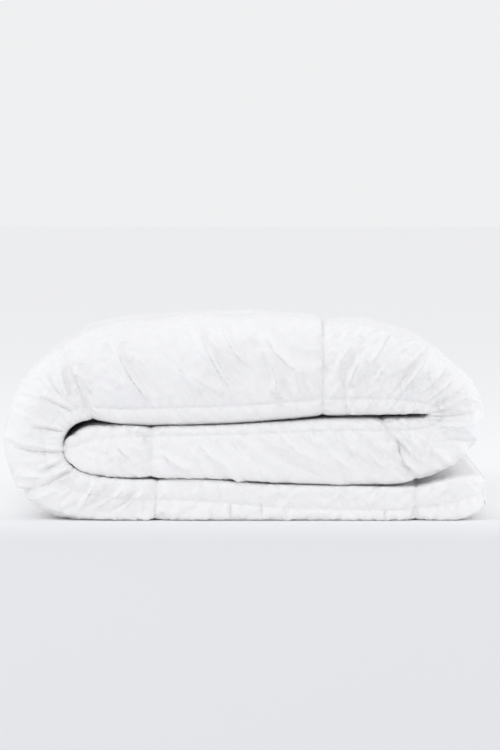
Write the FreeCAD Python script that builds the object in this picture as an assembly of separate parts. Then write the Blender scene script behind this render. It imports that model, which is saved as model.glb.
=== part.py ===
import FreeCAD, Part
import os

from FreeCAD import Vector

# A quilted duvet, folded in half along its centre seam and then in three, lying flat.
#
# The half fold is at the front (-Y), so every layer of the pile is double: an upper and a
# lower ply that meet round the front. The double strip then runs from the foot end of the
# bottom layer (+X), round the left fold into the top layer, and round the right fold into the
# middle layer, whose head end is tucked into the crook of the left fold.
#
# Origin: centre of the bottom face. +X to the foot end, -Y the front fold, +Z up. Millimetres.

# ---- The folded pile ----
FOLDED_WIDTH = 652.0  # X, left fold to the piping of the foot end
FOLDED_DEPTH = 620.0  # Y, front fold to the care label on the back edge
TOP_LAYER = 135.0  # thickness of each double layer
MIDDLE_LAYER = 82.0
BOTTOM_LAYER = 52.0
LAYER_GAP = 1.0  # air between layers that lie on each other

# ---- The left fold, bottom layer to top layer ----
LEFT_LOW_REACH = 80.0  # how far in, from the outermost point, the bottom layer starts to turn
LEFT_HIGH_REACH = 195.0  # the same for the top layer
LEFT_BULGE_HEIGHT = 105.0  # height of the outermost point
LEFT_FOLD_THICKNESS = 78.0  # from the outermost point to the crook

# ---- The right fold, top layer to middle layer ----
RIGHT_FOLD_INSET = 6.0  # the fold stops this far inside the foot end's piping
RIGHT_LOW_REACH = 115.0
RIGHT_BULGE_RISE = 6.0  # height of the outermost point over the base of the top layer
RIGHT_FOLD_THICKNESS = 74.0  # from the outermost point to where the layers part

# ---- Cross seams, from the foot end to the head end ----
FOOT_BORDER = 93.0  # foot end to its seam
BOTTOM_SEAM_INSET = 199.0  # left fold to the bottom layer's other seam
FOLD_SEAM_SHARE = 0.5  # how far round the upper half of the left fold its seam lies
TOP_SEAM_INSET = 208.0  # right fold to the top layer's seam, on the outer face
TOP_SEAM_LEAN = 8.0  # how much nearer the left fold that seam is on the inner face
MIDDLE_SEAM_INSET = 66.0  # where the top and middle layers part to the middle layer's seam
HEAD_BORDER = 108.0  # head end to its seam

# ---- Ends of the strip ----
FOOT_TAPER = 37.0  # length over which the foot end rises off the bed
FOOT_RISE_LOW = 10.0
FOOT_RISE_HIGH = 4.0
NOSE_CLEARANCE = 8.0  # between the head end and the crook that holds it
NOSE_TAPER = 50.0
NOSE_HEIGHT = 30.0  # height of the head end, at mid height of its layer
NOSE_LIFT = 1.0  # how far above mid height it lies

# ---- Long seams and the front fold ----
SIDE_BORDER = 82.0  # back edge to the nearest long seam; the next is half way to the front
FRONT_LOFT = 40.0  # from the front fold of the outer panel to the fold of the inner panel

# ---- Cloth, tape, thread and trim ----
CLOTH = 1.0
PANEL_SPACE = 0.5  # between the two halves of the folded inner panel
BAFFLE = 0.6
THREAD = 0.6
THREAD_WIDTH = 1.0
PIPING_WIDTH = 4.0
PIPING_PROUD = 3.0
SEAM_TAKE_UP = 3.0  # half the width of the edge stitching
FIT = 0.3  # clearance between separate pieces
LABEL_WIDTH = 45.0
LABEL_DROP = 60.0
LABEL_CLOTH = 0.8
LABEL_X = 150.0

# ---- Derived places ----
BOTTOM_TOP = BOTTOM_LAYER
MIDDLE_BASE = BOTTOM_TOP + LAYER_GAP
MIDDLE_TOP = MIDDLE_BASE + MIDDLE_LAYER
TOP_BASE = MIDDLE_TOP + LAYER_GAP
PILE_TOP = TOP_BASE + TOP_LAYER

LEFT = -FOLDED_WIDTH / 2
FOOT_X = FOLDED_WIDTH / 2 - PIPING_PROUD
RIGHT = FOLDED_WIDTH / 2 - RIGHT_FOLD_INSET
CROOK_X = LEFT + LEFT_FOLD_THICKNESS
CROOK_RADIUS = (TOP_BASE - BOTTOM_TOP) / 2
CROOK_Z = (TOP_BASE + BOTTOM_TOP) / 2
HEAD_X = CROOK_X + NOSE_CLEARANCE
NOSE_BASE = MIDDLE_BASE + (MIDDLE_LAYER - NOSE_HEIGHT) / 2 + NOSE_LIFT
PART_X = RIGHT - RIGHT_FOLD_THICKNESS
PART_Z = (TOP_BASE + MIDDLE_TOP) / 2
RIGHT_Z = TOP_BASE + RIGHT_BULGE_RISE

FRONT = -FOLDED_DEPTH / 2
LABEL_Y = FOLDED_DEPTH / 2 - LABEL_CLOTH
PIPING_BACK = LABEL_Y - FIT
BACK = PIPING_BACK - PIPING_PROUD
INSIDE_FRONT = FRONT + CLOTH
INSIDE_BACK = BACK - CLOTH
INNER_FOLD_Y = FRONT + FRONT_LOFT
END_TURN_Y = FRONT + FRONT_LOFT / 2  # where the end piping crosses from one ply to the other
LONG_SEAM_Y = [(FRONT + BACK - SIDE_BORDER) / 2, BACK - SIDE_BORDER]

FOOT_SEAM_X = FOOT_X - FOOT_BORDER
BOTTOM_SEAM_X = LEFT + BOTTOM_SEAM_INSET
TOP_SEAM_X = RIGHT - TOP_SEAM_INSET
MIDDLE_SEAM_X = PART_X - MIDDLE_SEAM_INSET
HEAD_SEAM_X = HEAD_X + HEAD_BORDER

INNER_HALF = PANEL_SPACE / 2 + CLOTH  # centre of the strip to the face of the inner panel
SEAM_HALF = THREAD_WIDTH / 2 + FIT  # room that a seam takes from the filling on each side
BAFFLE_START = CLOTH + THREAD + FIT  # outer panel's face to the edge of a baffle
BAFFLE_STOP = INNER_HALF + THREAD + FIT  # centre of the strip to the edge of a baffle

# Handle length that makes a cubic curve a quarter of an ellipse.
QUARTER = 0.5523

# ---- Ribs: lines across the double strip, from the foot end to the head end ----
# Each has its point on the outer face, its point on the inner face, and the way into the
# strip from the outer face. The strip is straight between two ribs that point the same way
# across, and turns a quarter between an upright one and a level one.
UP, DOWN, TO_RIGHT, TO_LEFT = (0, 1), (0, -1), (1, 0), (-1, 0)
RIBS = [
    ((FOOT_X, FOOT_RISE_LOW), (FOOT_X, BOTTOM_TOP + FOOT_RISE_HIGH), UP),
    ((FOOT_X - FOOT_TAPER, 0.0), (FOOT_X - FOOT_TAPER, BOTTOM_TOP), UP),
    ((FOOT_SEAM_X, 0.0), (FOOT_SEAM_X, BOTTOM_TOP), UP),
    ((BOTTOM_SEAM_X, 0.0), (BOTTOM_SEAM_X, BOTTOM_TOP), UP),
    ((LEFT + LEFT_LOW_REACH, 0.0), (CROOK_X + CROOK_RADIUS, BOTTOM_TOP), UP),
    ((LEFT, LEFT_BULGE_HEIGHT), (CROOK_X, CROOK_Z), TO_RIGHT),
    ((LEFT + LEFT_HIGH_REACH, PILE_TOP), (CROOK_X + CROOK_RADIUS, TOP_BASE), DOWN),
    ((TOP_SEAM_X, PILE_TOP), (TOP_SEAM_X - TOP_SEAM_LEAN, TOP_BASE), DOWN),
    ((RIGHT, RIGHT_Z), (PART_X, PART_Z), TO_LEFT),
    ((RIGHT - RIGHT_LOW_REACH, MIDDLE_BASE), (MIDDLE_SEAM_X, MIDDLE_TOP), UP),
    ((HEAD_SEAM_X, MIDDLE_BASE), (HEAD_SEAM_X, MIDDLE_TOP), UP),
    ((HEAD_X + NOSE_TAPER, MIDDLE_BASE), (HEAD_X + NOSE_TAPER, MIDDLE_TOP), UP),
    ((HEAD_X, NOSE_BASE), (HEAD_X, NOSE_BASE + NOSE_HEIGHT), UP),
]
FOOT_END = 0
LEFT_TURN = 5
HEAD_END = len(RIBS) - 1

# Stations of the cross seams, foot to head: whole numbers are ribs.
CROSS_SEAMS = [2, 3, LEFT_TURN + FOLD_SEAM_SHARE, 7, 9, 10]
CELLS = list(zip([FOOT_END] + CROSS_SEAMS, CROSS_SEAMS + [HEAD_END]))


def place(rib, share, offset):
    """The point of a rib at a share of the way to the inner face, moved inwards by offset."""
    (ox, oz), (ix, iz), (nx, nz) = RIBS[rib]
    x = ox + share * (ix - ox) + offset * nx
    z = oz + share * (iz - oz) + offset * nz
    return Vector(x, 0, z)


def stretch(line, start):
    """The curve of a line of the strip between rib start and the next one."""
    p, q = place(start, *line), place(start + 1, *line)
    level, level_next = RIBS[start][2][0] == 0, RIBS[start + 1][2][0] == 0
    if level == level_next:
        return Part.LineSegment(p, q)
    corner = Vector(q.x, 0, p.z) if level else Vector(p.x, 0, q.z)
    curve = Part.BezierCurve()
    curve.setPoles([p, p + (corner - p) * QUARTER, q + (corner - q) * QUARTER, q])
    return curve


def at(line, station):
    """The point of a line at a station, which may lie between two ribs."""
    start = min(int(station), HEAD_END - 1)
    curve = stretch(line, start)
    first, last = curve.FirstParameter, curve.LastParameter
    return curve.value(first + (station - start) * (last - first))


def trace(line, first, last):
    """The edges of a line from one station to another."""
    edges = []
    for start in range(int(first), HEAD_END):
        low, high = max(first - start, 0.0), min(last - start, 1.0)
        if low < high:
            curve = stretch(line, start)
            begin, length = curve.FirstParameter, curve.LastParameter - curve.FirstParameter
            edges.append(curve.toShape(begin + low * length, begin + high * length))
    return edges


def between(near, far, first, last, front, back):
    """The solid between two lines of the strip, two stations and two depths."""
    edges = trace(near, first, last) + trace(far, first, last)
    for station in (first, last):
        edges.append(Part.LineSegment(at(near, station), at(far, station)).toShape())
    face = Part.Face(Part.Wire(Part.__sortEdges__(edges)))
    face.translate(Vector(0, front, 0))
    return face.extrude(Vector(0, back - front, 0))


def shortest(start):
    """The length of the shorter face of the strip between rib start and the next one."""
    faces = [place(start + 1, share, 0) - place(start, share, 0) for share in (0, 1)]
    return min(face.Length for face in faces)


def after(station, distance):
    """The station that lies at least a distance past another one."""
    return station + distance / shortest(min(int(station), HEAD_END - 1))


def before(station, distance):
    start = int(station) if station > int(station) else int(station) - 1
    return station - distance / shortest(start)


def plate(p, q, thickness, front, back):
    """A flat wall of the given thickness whose section runs from p to q."""
    across = (q - p).normalize()
    side = Vector(across.z, 0, -across.x) * (thickness / 2)
    corners = [p + side, q + side, q - side, p - side, p + side]
    face = Part.Face(Part.makePolygon(corners))
    face.translate(Vector(0, front, 0))
    return face.extrude(Vector(0, back - front, 0))


def joined(solids):
    return solids[0].fuse(solids[1:]).removeSplitter()


# Lines of the strip as (share of the way in, offset inwards).
OUTER = (0, 0)
OUTER_LINING = (0, CLOTH)
INNER = (1, 0)
INNER_LINING = (1, -CLOTH)
UPPER_EDGE = 0.25  # the edge seam of each ply runs half way up it
LOWER_EDGE = 0.75
GROOVE = PIPING_WIDTH / 2 + FIT

# The stretches of the strip that its two end walls take.
END_WALLS = [(FOOT_END, after(FOOT_END, CLOTH)), (before(HEAD_END, CLOTH), HEAD_END)]

# Each ply: the panel's side, the share and sign that reach the inner panel, and its edge seam.
PLIES = {
    "outer": {"panel": 0, "inwards": 1, "edge": UPPER_EDGE},
    "inner": {"panel": 1, "inwards": -1, "edge": LOWER_EDGE},
}


def off_panel(ply, distance):
    """The line that far inside the outer panel, on one ply."""
    return (PLIES[ply]["panel"], PLIES[ply]["inwards"] * distance)


def off_centre(ply, distance):
    """The line that far from the centre of the strip, on one ply."""
    return (0.5, -PLIES[ply]["inwards"] * distance)


def outer_panel():
    """The cloth that shows: over the top, round the front fold and back underneath."""
    strip = (FOOT_END, HEAD_END)
    shell = [
        between(OUTER, OUTER_LINING, *strip, FRONT, BACK),
        between(INNER, INNER_LINING, *strip, FRONT, BACK),
        between(OUTER, INNER, *strip, FRONT, INSIDE_FRONT),
    ]
    flanges = [(OUTER, (UPPER_EDGE, -GROOVE)), ((LOWER_EDGE, GROOVE), INNER)]
    for near, far in flanges:
        shell.append(between(near, far, *strip, INSIDE_BACK, BACK))
    for end in END_WALLS:
        shell.append(between(OUTER, INNER, *end, FRONT, END_TURN_Y - GROOVE))
        shell += [between(near, far, *end, FRONT, BACK) for near, far in flanges]
    return joined(shell)


def inner_panel():
    """The cloth inside the half fold: two sheets face to face, joined round their own fold."""
    strip = (FOOT_END, HEAD_END)
    near, far = (0.5, -INNER_HALF), (0.5, INNER_HALF)
    sheets = [
        between(near, (0.5, -PANEL_SPACE / 2), *strip, INNER_FOLD_Y, BACK),
        between((0.5, PANEL_SPACE / 2), far, *strip, INNER_FOLD_Y, BACK),
        between(near, far, *strip, INNER_FOLD_Y - CLOTH, INNER_FOLD_Y),
    ]
    edges = [(UPPER_EDGE, GROOVE), (LOWER_EDGE, -GROOVE)]
    flanges = [(edges[0], near), (far, edges[1])]
    for low, high in flanges:
        sheets.append(between(low, high, *strip, INSIDE_BACK, BACK))
    for end in END_WALLS:
        sheets.append(between(*edges, *end, END_TURN_Y + GROOVE, INNER_FOLD_Y))
        sheets += [between(low, high, *end, END_TURN_Y + GROOVE, BACK) for low, high in flanges]
    return joined(sheets)


def long_piping(ply):
    """The corded edge of one ply, all along the back of the folded strip."""
    edge = PLIES[ply]["edge"]
    half = PIPING_WIDTH / 2
    return between((edge, -half), (edge, half), FOOT_END, HEAD_END, INSIDE_BACK, PIPING_BACK)


def end_piping(station, outwards):
    """The corded edge of one end: along both plies and across behind the front fold."""
    half = PIPING_WIDTH / 2
    low, high = (at((edge, 0), station) for edge in (UPPER_EDGE, LOWER_EDGE))
    left, right = sorted((low.x - outwards * CLOTH, low.x + outwards * PIPING_PROUD))
    front, back = END_TURN_Y - half, INSIDE_BACK - FIT
    bottom, top = low.z - half, high.z + half
    bars = [Part.makeBox(right - left, PIPING_WIDTH, top - bottom, Vector(left, front, bottom))]
    for z in (bottom, top - PIPING_WIDTH):
        corner = Vector(left, front, z)
        bars.append(Part.makeBox(right - left, back - front, PIPING_WIDTH, corner))
    return joined(bars)


def inner_slot(station):
    """The room that the folded inner panel needs in a baffle that crosses it."""
    reach = INNER_HALF + FIT
    first, last = station - 0.02, station + 0.02
    front = INNER_FOLD_Y - CLOTH - FIT
    return between((0.5, -reach), (0.5, reach), first, last, front, BACK)


def cross_baffle(station):
    """A tape wall from panel to panel, across both plies and round the front fold."""
    p = at((0, BAFFLE_START), station)
    q = at((1, -BAFFLE_START), station)
    front = INSIDE_FRONT + THREAD + FIT
    wall = plate(p, q, BAFFLE, front, INSIDE_BACK - THREAD - FIT)
    return wall.cut(inner_slot(station))


def cell_run(first, last, room):
    """The stations of one cell, kept clear of the seams at its two ends."""
    start = after(first, CLOTH + THREAD + FIT if first == FOOT_END else room)
    stop = before(last, CLOTH + THREAD + FIT if last == HEAD_END else room)
    return start, stop


def centre_baffle():
    """Tape walls behind the centre seam, from the front fold to the inner panel's fold."""
    near, far = (0.5, -BAFFLE / 2), (0.5, BAFFLE / 2)
    front = INSIDE_FRONT + THREAD + FIT
    back = INNER_FOLD_Y - CLOTH - THREAD - FIT
    return [between(near, far, *cell_run(*cell, SEAM_HALF), front, back) for cell in CELLS]


def long_baffle(ply, y):
    """Tape walls along one long seam of a ply, one between each two cross baffles."""
    near, far = off_panel(ply, BAFFLE_START), off_centre(ply, BAFFLE_STOP)
    front, back = y - BAFFLE / 2, y + BAFFLE / 2
    return [between(near, far, *cell_run(*cell, SEAM_HALF), front, back) for cell in CELLS]


def cross_thread(station):
    """The stitching of one cross seam, inside the outer panel and round the front fold."""
    outer = at(OUTER_LINING, station), at((0, CLOTH + THREAD), station)
    inner = at((1, -CLOTH - THREAD), station), at(INNER_LINING, station)
    back = INSIDE_BACK - THREAD - FIT
    rows = [plate(p, q, THREAD_WIDTH, INSIDE_FRONT, back) for p, q in (outer, inner)]
    front = plate(outer[0], inner[1], THREAD_WIDTH, INSIDE_FRONT, INSIDE_FRONT + THREAD)
    return joined(rows + [front])


def long_thread():
    """The stitching of every long seam, broken where a cross seam passes."""
    rows = []
    half = THREAD_WIDTH / 2
    for cell in CELLS:
        run = cell_run(*cell, SEAM_HALF)
        centre = ((0.5, -half), (0.5, half))
        rows.append(between(*centre, *run, INSIDE_FRONT, INSIDE_FRONT + THREAD))
        fold = INNER_FOLD_Y - CLOTH
        rows.append(between(*centre, *run, fold - THREAD, fold))
        for ply in PLIES:
            for y in LONG_SEAM_Y:
                panel = (off_panel(ply, CLOTH), off_panel(ply, CLOTH + THREAD))
                lining = (off_centre(ply, INNER_HALF + THREAD), off_centre(ply, INNER_HALF))
                rows.append(between(*panel, *run, y - half, y + half))
                rows.append(between(*lining, *run, y - half, y + half))
    return rows


def edge_thread():
    """The stitching that holds the outer panel, the piping and the inner panel together."""
    rows = []
    for ply in PLIES.values():
        near, far = (ply["edge"], -SEAM_TAKE_UP), (ply["edge"], SEAM_TAKE_UP)
        start, stop = after(FOOT_END, CLOTH + THREAD), before(HEAD_END, CLOTH + THREAD)
        rows.append(between(near, far, start, stop, INSIDE_BACK - THREAD, INSIDE_BACK))
    return rows


def fill(ply, cell, front, back):
    """The filling of one stitched box."""
    near, far = off_panel(ply, CLOTH + FIT), off_centre(ply, INNER_HALF + FIT)
    return between(near, far, *cell_run(*cell, SEAM_HALF), front, back)


def care_label():
    """A blank cloth label sewn into the upper ply's edge seam, hanging down the back."""
    height = at((UPPER_EDGE, 0), 6.5).z
    corner = Vector(LABEL_X - LABEL_WIDTH / 2, LABEL_Y, height + LABEL_CLOTH / 2 - LABEL_DROP)
    return Part.makeBox(LABEL_WIDTH, LABEL_CLOTH, LABEL_DROP, corner)


# ---- Filling: bands of boxes between the front fold, the long seams and the back edge ----
BANDS = {
    "front": (INSIDE_FRONT + FIT, LONG_SEAM_Y[0] - SEAM_HALF),
    "back": (LONG_SEAM_Y[0] + SEAM_HALF, LONG_SEAM_Y[1] - SEAM_HALF),
}
EDGE_BAND = (LONG_SEAM_Y[1] + SEAM_HALF, INSIDE_BACK - THREAD - FIT)
LAYER_NAMES = ["bottom", "left_fold", "top", "right_fold", "middle"]

nodes = {
    "outer_panel": outer_panel(),
    "inner_panel": inner_panel(),
    "upper_edge_piping": long_piping("outer"),
    "lower_edge_piping": long_piping("inner"),
    "foot_end_piping": end_piping(FOOT_END, 1),
    "head_end_piping": end_piping(HEAD_END, -1),
    "centre_baffle": Part.makeCompound(centre_baffle()),
    "cross_seam_thread": Part.makeCompound([cross_thread(s) for s in CROSS_SEAMS]),
    "long_seam_thread": Part.makeCompound(long_thread()),
    "edge_seam_thread": Part.makeCompound(edge_thread()),
    "care_label": care_label(),
}
for number, station in enumerate(CROSS_SEAMS, start=1):
    nodes[f"cross_baffle_{number}"] = cross_baffle(station)
for ply in PLIES:
    for number, y in enumerate(LONG_SEAM_Y, start=1):
        nodes[f"{ply}_long_baffle_{number}"] = Part.makeCompound(long_baffle(ply, y))
    for layer, cell in zip(LAYER_NAMES, CELLS[1:-1]):
        for band, (front, back) in BANDS.items():
            nodes[f"{ply}_fill_{layer}_{band}"] = fill(ply, cell, front, back)
    edge_boxes = [fill(ply, cell, *EDGE_BAND) for cell in CELLS]
    nodes[f"{ply}_edge_fill"] = Part.makeCompound(edge_boxes)
    for end, cell in (("foot", CELLS[0]), ("head", CELLS[-1])):
        boxes = [fill(ply, cell, front, back) for front, back in BANDS.values()]
        nodes[f"{ply}_{end}_fill"] = Part.makeCompound(boxes)

os.makedirs("parts", exist_ok=True)
for name, shape in nodes.items():
    shape.exportStep(f"parts/{name}.step")
    print(f"{name}: {len(shape.Solids)} solids, valid {shape.isValid()}, {shape.Volume / 1e3:.1f} cm3")
print(len(nodes), "nodes")
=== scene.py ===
# %% [markdown]
# # A folded duvet
# This lesson dresses a duvet that is folded in half and then in three. The design model says how
# big it is, where each layer lies and where the seams run. Here we make what the eye sees: puffy
# cotton boxes, stitched seams that pull the cloth in, and the many small wrinkles between them.

# %% Load the frame
import math
import bpy
import numpy as np
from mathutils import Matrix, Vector


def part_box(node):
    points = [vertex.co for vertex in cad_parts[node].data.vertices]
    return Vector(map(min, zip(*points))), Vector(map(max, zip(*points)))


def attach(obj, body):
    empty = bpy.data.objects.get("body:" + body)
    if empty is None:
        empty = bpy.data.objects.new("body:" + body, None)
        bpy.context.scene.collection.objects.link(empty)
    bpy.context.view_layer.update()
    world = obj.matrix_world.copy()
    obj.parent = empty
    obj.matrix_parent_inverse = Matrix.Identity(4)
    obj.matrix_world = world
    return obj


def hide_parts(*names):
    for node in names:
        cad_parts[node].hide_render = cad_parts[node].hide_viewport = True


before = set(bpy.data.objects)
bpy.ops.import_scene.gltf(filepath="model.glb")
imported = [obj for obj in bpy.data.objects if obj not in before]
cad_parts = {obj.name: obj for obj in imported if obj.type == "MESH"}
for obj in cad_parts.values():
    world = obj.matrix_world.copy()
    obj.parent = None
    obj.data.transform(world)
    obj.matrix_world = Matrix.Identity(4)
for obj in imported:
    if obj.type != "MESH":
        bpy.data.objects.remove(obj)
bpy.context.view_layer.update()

print("nodes in the frame:", len(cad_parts))

# %% [markdown]
# ## Where things are
# Every place comes from the design model, so that the cloth fits what it stands for. A node's
# box gives its lowest and highest corner. The two long baffles tell us where the long seams run
# across the folded bundle, and the foot end's piping how near the front the open ends come.

# %% Read the main places
MM = 0.001
shell_low, shell_high = (np.array(corner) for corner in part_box("outer_panel"))
FRONT, BACK = shell_low[1], shell_high[1]
baffle_boxes = [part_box(f"outer_long_baffle_{n}") for n in (1, 2)]
LONG_SEAMS = [(low[1] + high[1]) / 2 for low, high in baffle_boxes]
END_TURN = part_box("foot_end_piping")[0][1]
print("front and back of the shell:", round(float(FRONT), 4), round(float(BACK), 4))
print("long seams at y =", [round(y, 4) for y in LONG_SEAMS])

# %% [markdown]
# ## The path of the folded strip
# The duvet's double strip starts at the foot end of the bottom layer, turns round the left fold
# into the top layer, and round the right fold into the middle layer. Ribs cut it like the slats
# of a blind: each gives a point on its outer face and one on its inner face. A smooth curve
# through each row of points is easier to shape than a stack of bent boxes, because one rib can
# be moved without touching the others.

# %% The ribs
# Each rib: outer x, outer z, inner x, inner z, share of the way in where the centre seam runs,
# and how far the front stands back there. Millimetres.
RIBS = [
    (322, 12, 323, 63, 0.50, 6),
    (300, 3, 299, 61, 0.48, 3),
    (230, 0, 232, 47, 0.36, 4),
    (140, 0, 140, 47, 0.34, 2),
    (20, 0, 20, 50, 0.42, 2),
    (-60, 0, -60, 56, 0.50, 2),
    (-124, 0, -121, 56, 0.52, 3),
    (-185, 0, -165, 56, 0.56, 3),
    (-236, 3, -203, 60.5, 0.60, 4),
    (-287, 23, -231, 70, 0.64, 6),
    (-319, 64, -246, 85, 0.66, 8),
    (-326, 108, -249, 104, 0.68, 8),
    (-314, 164, -241, 123, 0.72, 7),
    (-285, 207, -226, 133, 0.78, 5),
    (-250, 236, -208, 135.5, 0.81, 4),
    (-190, 259, -165, 129.5, 0.82, 2),
    (-110, 271, -100, 128.5, 0.82, 0),
    (0, 274, 0, 132.3, 0.82, 0),
    (106, 270, 104, 141, 0.81, 1),
    (180, 257, 166, 143, 0.79, 1),
    (250, 229, 212, 144, 0.77, 3),
    (295, 193, 238, 145, 0.74, 6),
    (319, 150, 247, 143, 0.72, 8),
    (310, 112, 240, 140, 0.74, 7),
    (283, 77, 219, 139, 0.78, 5),
    (231, 53, 185, 138.5, 0.82, 4),
    (150, 48, 120, 138, 0.84, 2),
    (40, 51, 40, 133.3, 0.84, 1),
    (-50, 56.5, -50, 129, 0.84, 1),
    (-130, 57, -130, 127.8, 0.83, 3),
    (-185, 59, -183, 128.5, 0.78, 6),
    (-225, 67, -222, 125, 0.66, 10),
    (-247, 86, -245, 109, 0.50, 14),
]
# The ribs that lie on a cross seam, from the foot end to the head end.
SEAM_RIBS = [2, 6, 14, 18, 25, 29]
TOP_RIBS = (14, 22)  # the top layer, from the left fold's seam to the right fold
MIDDLE_RIBS = (22, 32)
BOTTOM_RIBS = (0, 9)
FREE_RIBS = (8, 24)  # where the outer face is free: the two folds and the top layer
LEFT_FOLD_RIBS = (8, 14)  # up to the seam where the left fold meets the top
MIDDLE_OF_TOP = 17

rib_table = np.array(RIBS, float)
rib_table[:, [0, 1, 2, 3, 5]] *= MM
gaps = np.diff(rib_table, axis=0)
rib_steps = np.maximum(np.hypot(gaps[:, 0], gaps[:, 1]), np.hypot(gaps[:, 2], gaps[:, 3]))
rib_at = np.concatenate([[0.0], np.cumsum(rib_steps)])
print("length of the strip along its longer face:", round(float(rib_at[-1]), 3), "m")

# %% A smooth curve through the ribs
def smooth_rows(at):
    """Each column of the rib table at the given distances, along a smooth curve."""
    slopes = gaps / rib_steps[:, None]
    inner = (slopes[:-1] * rib_steps[1:, None] + slopes[1:] * rib_steps[:-1, None])
    inner /= (rib_steps[:-1] + rib_steps[1:])[:, None]
    tangents = np.vstack([slopes[:1], inner, slopes[-1:]])
    k = np.clip(np.searchsorted(rib_at, at, side="right") - 1, 0, len(rib_steps) - 1)
    step = rib_steps[k][:, None]
    t = (at - rib_at[k])[:, None] / step
    a = 2 * t**3 - 3 * t**2 + 1
    b = t**3 - 2 * t**2 + t
    c = -2 * t**3 + 3 * t**2
    d = t**3 - t**2
    return (a * rib_table[k] + b * step * tangents[k]
            + c * rib_table[k + 1] + d * step * tangents[k + 1])


CELL = 2.8 * MM  # size of one face of the cloth where it shows
columns = int(round(rib_at[-1] / CELL)) + 1
along = np.linspace(0.0, rib_at[-1], columns)
rows = smooth_rows(along)
outer_line, inner_line = rows[:, 0:2], rows[:, 2:4]
seam_share, setback = rows[:, 4], rows[:, 5]
thickness = np.linalg.norm(inner_line - outer_line, axis=1)
seam_at = rib_at[SEAM_RIBS]
print("columns of cloth:", columns, "thickest layer:", round(float(thickness.max()), 3), "m")

# %% [markdown]
# ## The section of the strip
# Cut across, the folded strip looks like a hairpin: over the outer face to the front, round the
# half fold, and back along the inner face. At the back edge each ply curves in to its own edge
# seam, a quarter and three quarters of the way through. The centre seam runs along the front.
# We draw the hairpin with many points at each column and then pick points at even distances
# from the centre seam, so that rows of the mesh follow the real weft of the cloth.

# %% The hairpin
UPPER_EDGE, LOWER_EDGE = 0.25, 0.75  # where the two edge seams lie in the strip's thickness
BACK_ROUND = 34.0 * MM  # how far before the back edge a ply starts to curve in
FRONT_ROUNDNESS = 0.86  # depth of the front curve over half the thickness
FREE_CORNER, PRESSED_CORNER = 0.86, 0.36  # below 1 a corner is fuller than a circle's
END_TAPER = 40.0 * MM  # how far before its ends the strip starts to close

BACK_POINTS, FLAT_POINTS, FRONT_POINTS = 40, 200, 161  # points along each part of the hairpin

turn = np.linspace(0.0, math.pi / 2, BACK_POINTS)
front_turn = np.linspace(-math.pi / 2, math.pi / 2, FRONT_POINTS)


def span(first_rib, last_rib, soft=20.0 * MM):
    """1 between two ribs and 0 outside them, with soft edges, for each column."""
    rise = 1 / (1 + np.exp(-(along - rib_at[first_rib]) / soft))
    fall = 1 / (1 + np.exp((along - rib_at[last_rib]) / soft))
    return (rise * fall)[:, None]


outer_is_free = span(*FREE_RIBS)[:, 0]
outer_corner = PRESSED_CORNER + (FREE_CORNER - PRESSED_CORNER) * outer_is_free


def hairpin(column):
    """Shares and depths of the section's line at a column, from edge seam to edge seam."""
    depth = FRONT_ROUNDNESS * thickness[column] / 2
    start = FRONT + setback[column]
    corner = np.where(front_turn < 0, outer_corner[column], PRESSED_CORNER)
    share_front = 0.5 + 0.5 * np.sign(np.sin(front_turn)) * np.abs(np.sin(front_turn)) ** corner
    y_front = start + depth * (1 - np.abs(np.cos(front_turn)) ** corner)
    flat = np.linspace(BACK - BACK_ROUND, start + depth, FLAT_POINTS)[1:-1]
    share = np.concatenate([
        UPPER_EDGE * (1 - np.sin(turn)), np.zeros(flat.size), share_front,
        np.ones(flat.size), 1 - (1 - LOWER_EDGE) * (1 - np.sin(turn[::-1]))])
    y = np.concatenate([
        BACK - BACK_ROUND * (1 - np.cos(turn)), flat, y_front,
        flat[::-1], BACK - BACK_ROUND * (1 - np.cos(turn[::-1]))])
    return share, y


FINE_OUTER, FINE_INNER = 164.0 * MM, 48.0 * MM  # how far from the centre seam the mesh is fine
COARSE_OUTER, COARSE_INNER = 6.5 * MM, 24.0 * MM
ROUND_THE_FRONT = 60.0 * MM  # what the round front adds to a face, roughly
usual_length = (BACK - FRONT) + ROUND_THE_FRONT
fine_outer = int(FINE_OUTER / CELL)
fine_inner = int(FINE_INNER / CELL)
more_outer = int((usual_length - FINE_OUTER) / COARSE_OUTER)
more_inner = int((usual_length - FINE_INNER) / COARSE_INNER)
lines = more_outer + fine_outer + 1 + fine_inner + more_inner
CENTRE = more_outer + fine_outer  # the mesh row that lies on the centre seam

share = np.zeros((columns, lines))
depth_y = np.zeros((columns, lines))
across = np.zeros((columns, lines))
for column in range(columns):
    s, y = hairpin(column)
    step = np.hypot(np.diff(s) * thickness[column], np.diff(y))
    run = np.concatenate([[0.0], np.cumsum(step)])
    middle = len(s) // 2
    front_part = slice(middle - FRONT_POINTS // 2, middle + FRONT_POINTS // 2 + 1)
    centre = np.interp(seam_share[column], s[front_part], run[front_part])
    ahead, behind = centre, run[-1] - centre
    outer_part = -np.concatenate([
        np.linspace(ahead, FINE_OUTER, more_outer, endpoint=False),
        np.linspace(FINE_OUTER, 0.0, fine_outer, endpoint=False)])
    inner_part = np.concatenate([
        np.linspace(0.0, FINE_INNER, fine_inner, endpoint=False),
        np.linspace(FINE_INNER, behind, more_inner + 1)])
    across[column] = np.concatenate([outer_part, inner_part])
    share[column] = np.interp(centre + across[column], run, s)
    depth_y[column] = np.interp(centre + across[column], run, y)
print("rows of cloth:", lines, "vertices:", columns * lines)

# %% [markdown]
# ## Ends of the strip, and a pile that sags
# At its two ends a duvet is sewn shut, so its double strip thins out towards the end piping. A
# straight taper would look like a wedge of cheese; a quarter of an ellipse looks stuffed. The
# filling also weighs on itself, so the pile is a little lower at the back than at the fold.

# %% Close the two ends
NEARLY_CLOSED = 0.08  # the cloth is never pinched to a single point


def at_least(least, field):
    """A field from 0 to 1, raised so that it starts from the least value."""
    return least + (1 - least) * field


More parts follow.
